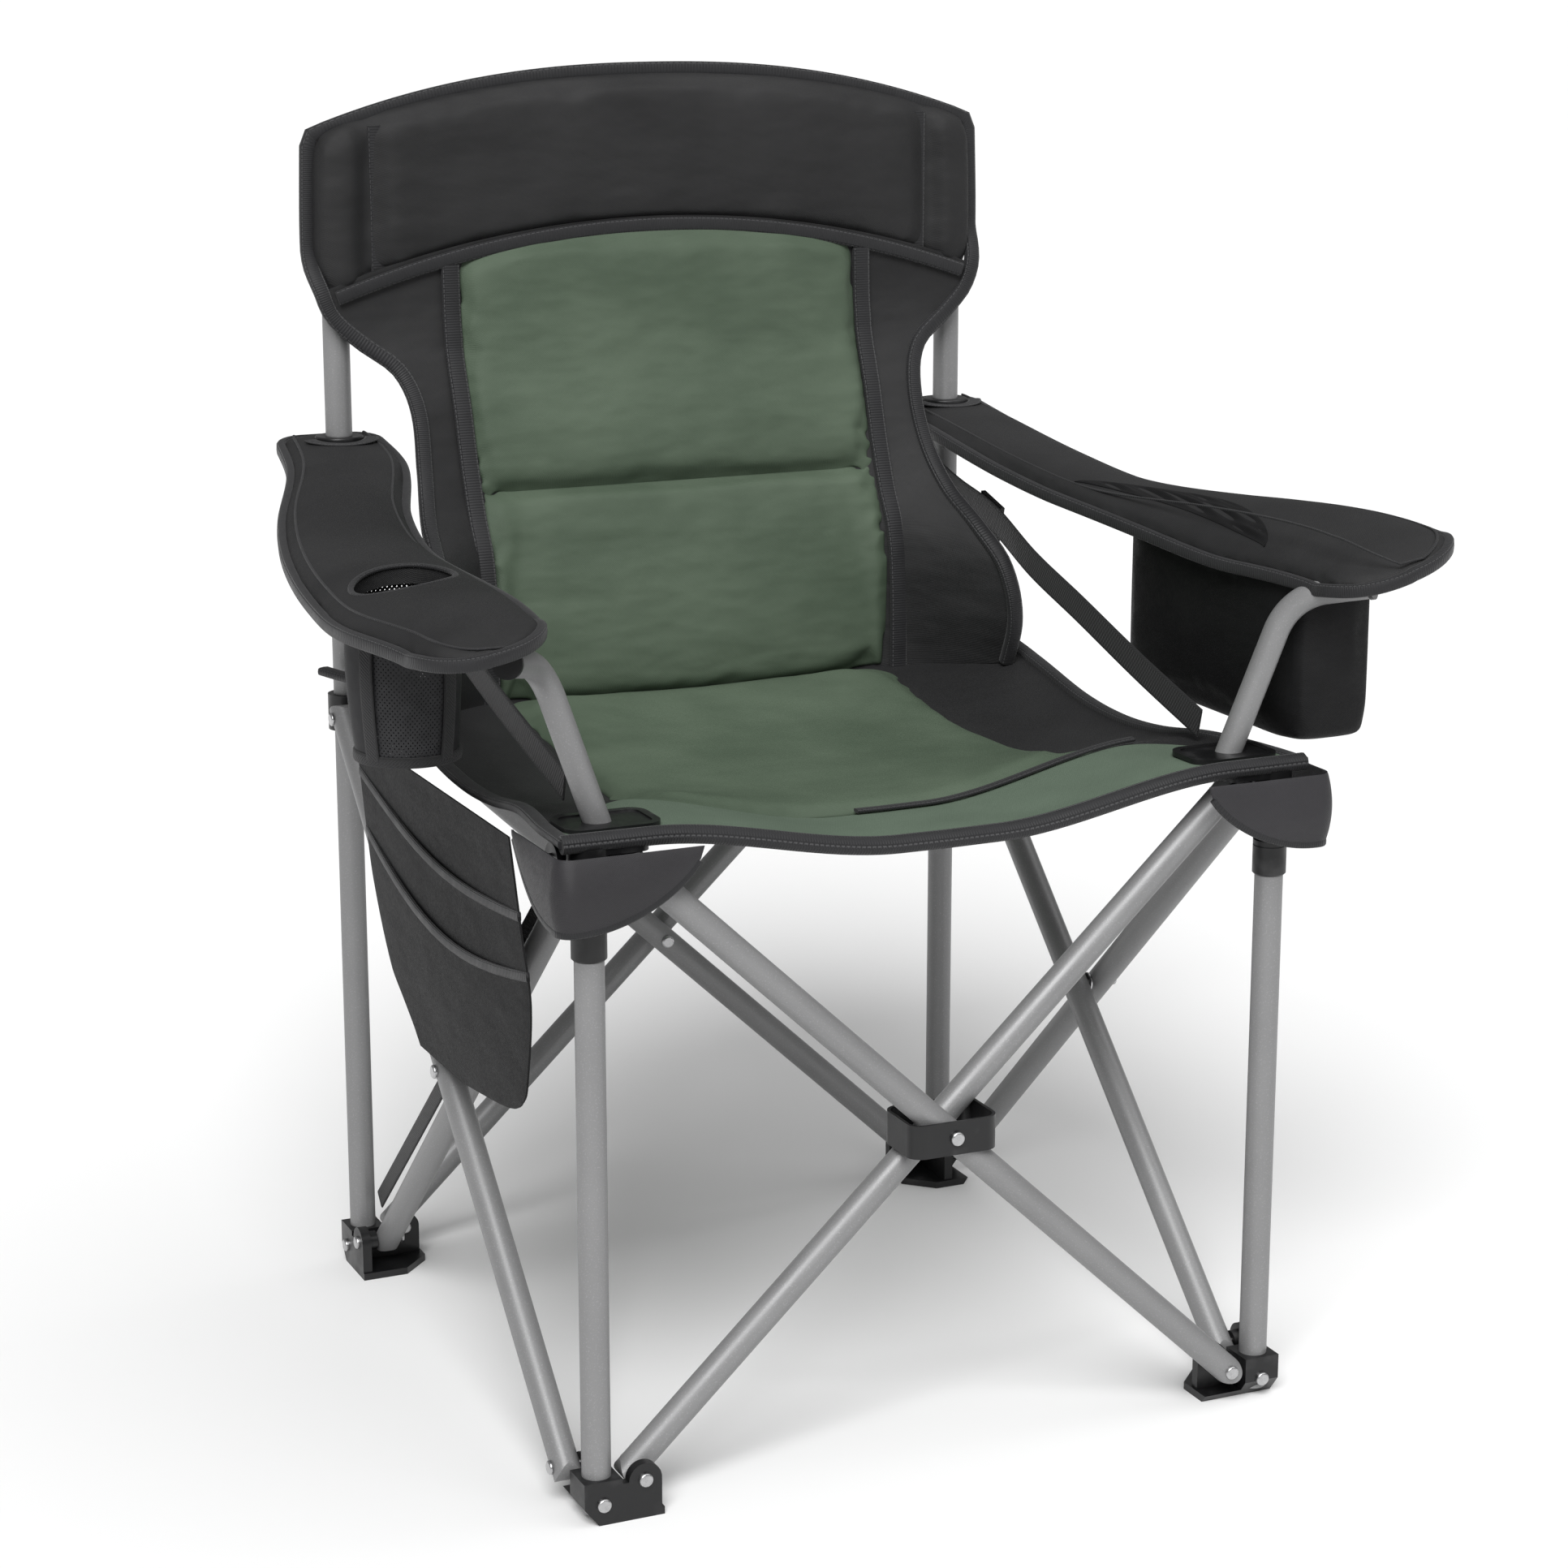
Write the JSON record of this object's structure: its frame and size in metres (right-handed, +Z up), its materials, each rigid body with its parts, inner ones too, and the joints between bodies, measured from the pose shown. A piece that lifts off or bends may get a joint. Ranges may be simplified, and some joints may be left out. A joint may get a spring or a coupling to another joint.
{
  "type": "folding camp chair",
  "caption": "Padded folding armchair on crossed steel tubes, with a cup holder in one arm, a cool bag under the other and a side pouch; it closes like an umbrella.",
  "frame": {"origin": "middle of the chair's box, on the ground", "axes": "+Z up, -Y to the front, +X to the side that carries the cool bag"},
  "size_m": [0.856, 0.646, 1.022],
  "materials": {
    "tube": "satin grey powder coat",
    "black_plastic": "moulded, slightly satin",
    "fasteners": "zinc plated",
    "green_fabric": "woven polyester, padded",
    "black_fabric": "woven polyester",
    "mesh_fabric": "open mesh",
    "webbing": "ribbed webbing"
  },
  "bodies": {
    "front_left_leg": {"foot_front_left": "black_plastic", "foot_rivets_front_left": "fasteners", "leg_front_left": "tube", "collar_left": "black_plastic"},
    "front_right_leg": {"foot_front_right": "black_plastic", "foot_rivets_front_right": "fasteners", "leg_front_right": "tube", "collar_right": "black_plastic"},
    "rear_right_leg": {"foot_rear_right": "black_plastic", "foot_rivets_rear_right": "fasteners", "pole_rear_right": "tube", "pole_cap_right": "black_plastic", "arm_ring_right": "black_plastic"},
    "rear_left_leg": {"foot_rear_left": "black_plastic", "foot_rivets_rear_left": "fasteners", "pole_rear_left": "tube", "pole_cap_left": "black_plastic", "arm_ring_left": "black_plastic", "back_panel": "green_fabric"},
    "front_left_hub": {"hub_front_left": "black_plastic", "hub_rivets_front_left": "fasteners", "inner_leg_left": "tube", "arm_post_left": "tube", "post_cap_left": "black_plastic", "seat_plate_left": "black_plastic", "corner_pocket_left": "black_fabric", "side_pouch": "black_fabric"},
    "front_right_hub": {"hub_front_right": "black_plastic", "hub_rivets_front_right": "fasteners", "inner_leg_right": "tube", "arm_post_right": "tube", "post_cap_right": "black_plastic", "seat_plate_right": "black_plastic", "corner_pocket_right": "black_fabric"},
    "rear_right_hub": {"hub_rear_right": "black_plastic", "hub_rivets_rear_right": "fasteners"},
    "rear_left_hub": {"hub_rear_left": "black_plastic", "hub_rivets_rear_left": "fasteners"},
    "front_inner_brace": {"brace_front_inner": "tube", "crossing_rivet_front": "fasteners"},
    "front_outer_brace": {"brace_front_outer": "tube"},
    "right_inner_brace": {"brace_right_inner": "tube", "crossing_rivet_right": "fasteners"},
    "right_outer_brace": {"brace_right_outer": "tube"},
    "rear_inner_brace": {"brace_rear_inner": "tube", "crossing_rivet_rear": "fasteners"},
    "rear_outer_brace": {"brace_rear_outer": "tube"},
    "left_inner_brace": {"brace_left_inner": "tube", "crossing_rivet_left": "fasteners"},
    "left_outer_brace": {"brace_left_outer": "tube"},
    "bracket": {"centre_bracket": "black_plastic"},
    "seat": {"seat": "green_fabric"},
    "left_arm": {"arm_left": "black_fabric", "cup_holder": "mesh_fabric"},
    "right_arm": {"arm_right": "black_fabric", "cooler_bag": "black_fabric"},
    "left_side_strap": {"side_strap_left": "webbing"},
    "right_side_strap": {"side_strap_right": "webbing", "strap_buckle": "black_plastic"},
    "stay": {"stay_strap": "webbing"}
  },
  "joints": [
    {"name": "fold", "type": "hinge", "parent": "front_left_leg", "child": "front_inner_brace", "pos_m": [-0.247, -0.263, 0.03], "axis": [0, -1, 0], "range_deg": [0, 41.2], "deforming": ["seat", "back_panel", "arm_left", "arm_right", "cup_holder", "cooler_bag", "side_pouch", "corner_pocket_left", "corner_pocket_right", "side_strap_left", "side_strap_right", "stay_strap"]},
    {"name": "front_crossing", "type": "hinge", "parent": "front_inner_brace", "child": "front_outer_brace", "pos_m": [0, -0.275, 0.262], "axis": [0, 1, 0], "range_deg": [0, 82.4]},
    {"name": "bracket_turn", "type": "hinge", "parent": "front_inner_brace", "child": "bracket", "pos_m": [0, -0.275, 0.262], "axis": [0, 1, 0], "range_deg": [0, 41.2]},
    {"name": "front_right_foot_pivot", "type": "hinge", "parent": "front_outer_brace", "child": "front_right_leg", "pos_m": [0.247, -0.287, 0.03], "axis": [0, -1, 0], "range_deg": [0, 41.2]},
    {"name": "front_left_hub_pivot", "type": "hinge", "parent": "front_outer_brace", "child": "front_left_hub", "pos_m": [-0.247, -0.287, 0.494], "axis": [0, -1, 0], "range_deg": [0, 41.2]},
    {"name": "front_right_hub_pivot", "type": "hinge", "parent": "front_inner_brace", "child": "front_right_hub", "pos_m": [0.247, -0.263, 0.494], "axis": [0, 1, 0], "range_deg": [0, 41.2]},
    {"name": "left_foot_pivot", "type": "hinge", "parent": "front_left_leg", "child": "left_outer_brace", "pos_m": [-0.292, -0.242, 0.03], "axis": [1, 0, 0], "range_deg": [0, 41.2]},
    {"name": "left_crossing", "type": "hinge", "parent": "left_outer_brace", "child": "left_inner_brace", "pos_m": [-0.28, 0.005, 0.262], "axis": [-1, 0, 0], "range_deg": [0, 82.4]},
    {"name": "rear_left_foot_pivot", "type": "hinge", "parent": "left_inner_brace", "child": "rear_left_leg", "pos_m": [-0.268, 0.252, 0.03], "axis": [1, 0, 0], "range_deg": [0, 41.2]},
    {"name": "rear_left_hub_pivot", "type": "hinge", "parent": "left_outer_brace", "child": "rear_left_hub", "pos_m": [-0.292, 0.252, 0.494], "axis": [-1, 0, 0], "range_deg": [0, 41.2]},
    {"name": "rear_foot_pivot", "type": "hinge", "parent": "rear_left_leg", "child": "rear_outer_brace", "pos_m": [-0.247, 0.297, 0.03], "axis": [0, -1, 0], "range_deg": [0, 41.2]},
    {"name": "rear_crossing", "type": "hinge", "parent": "rear_outer_brace", "child": "rear_inner_brace", "pos_m": [0, 0.285, 0.262], "axis": [0, 1, 0], "range_deg": [0, 82.4]},
    {"name": "rear_right_foot_pivot", "type": "hinge", "parent": "rear_inner_brace", "child": "rear_right_leg", "pos_m": [0.247, 0.273, 0.03], "axis": [0, -1, 0], "range_deg": [0, 41.2]},
    {"name": "rear_right_hub_pivot", "type": "hinge", "parent": "rear_outer_brace", "child": "rear_right_hub", "pos_m": [0.247, 0.297, 0.494], "axis": [0, 1, 0], "range_deg": [0, 41.2]},
    {"name": "right_foot_pivot", "type": "hinge", "parent": "front_right_leg", "child": "right_inner_brace", "pos_m": [0.268, -0.242, 0.03], "axis": [1, 0, 0], "range_deg": [0, 41.2]},
    {"name": "right_crossing", "type": "hinge", "parent": "right_inner_brace", "child": "right_outer_brace", "pos_m": [0.28, 0.005, 0.262], "axis": [-1, 0, 0], "range_deg": [0, 82.4]},
    {"name": "seat_fold", "type": "hinge", "parent": "front_left_hub", "child": "seat", "pos_m": [0, -0.22, 0.511], "axis": [-1, 0, 0], "range_deg": [0, 82.4]},
    {"name": "left_arm_fold", "type": "hinge", "parent": "front_left_hub", "child": "left_arm", "pos_m": [-0.345, -0.3, 0.652], "axis": [-1, 0, 0], "range_deg": [0, 41.2]},
    {"name": "right_arm_fold", "type": "hinge", "parent": "front_right_hub", "child": "right_arm", "pos_m": [0.345, -0.3, 0.652], "axis": [-1, 0, 0], "range_deg": [0, 41.2]},
    {"name": "left_strap_fold", "type": "hinge", "parent": "rear_left_leg", "child": "left_side_strap", "pos_m": [-0.266, 0.263, 0.662], "axis": [-1, 0, 0], "range_deg": [0, 90.64]},
    {"name": "right_strap_fold", "type": "hinge", "parent": "rear_right_leg", "child": "right_side_strap", "pos_m": [0.266, 0.263, 0.662], "axis": [-1, 0, 0], "range_deg": [0, 90.64]},
    {"name": "stay_fold", "type": "hinge", "parent": "rear_left_leg", "child": "stay", "pos_m": [-0.266, 0.268, 0.06], "axis": [-1, 0, 0], "range_deg": [0, 41.2]}
  ],
  "couplings": [
    {"joint": "front_crossing", "follows": "fold", "ratio": 2},
    {"joint": "bracket_turn", "follows": "fold", "ratio": 1},
    {"joint": "front_right_foot_pivot", "follows": "fold", "ratio": 1},
    {"joint": "front_left_hub_pivot", "follows": "fold", "ratio": 1},
    {"joint": "front_right_hub_pivot", "follows": "fold", "ratio": 1},
    {"joint": "left_foot_pivot", "follows": "fold", "ratio": 1},
    {"joint": "left_crossing", "follows": "fold", "ratio": 2},
    {"joint": "rear_left_foot_pivot", "follows": "fold", "ratio": 1},
    {"joint": "rear_left_hub_pivot", "follows": "fold", "ratio": 1},
    {"joint": "rear_foot_pivot", "follows": "fold", "ratio": 1},
    {"joint": "rear_crossing", "follows": "fold", "ratio": 2},
    {"joint": "rear_right_foot_pivot", "follows": "fold", "ratio": 1},
    {"joint": "rear_right_hub_pivot", "follows": "fold", "ratio": 1},
    {"joint": "right_foot_pivot", "follows": "fold", "ratio": 1},
    {"joint": "right_crossing", "follows": "fold", "ratio": 2},
    {"joint": "seat_fold", "follows": "fold", "ratio": 2},
    {"joint": "left_arm_fold", "follows": "fold", "ratio": 1},
    {"joint": "right_arm_fold", "follows": "fold", "ratio": 1},
    {"joint": "left_strap_fold", "follows": "fold", "ratio": 2.2},
    {"joint": "right_strap_fold", "follows": "fold", "ratio": 2.2},
    {"joint": "stay_fold", "follows": "fold", "ratio": 1}
  ]
}
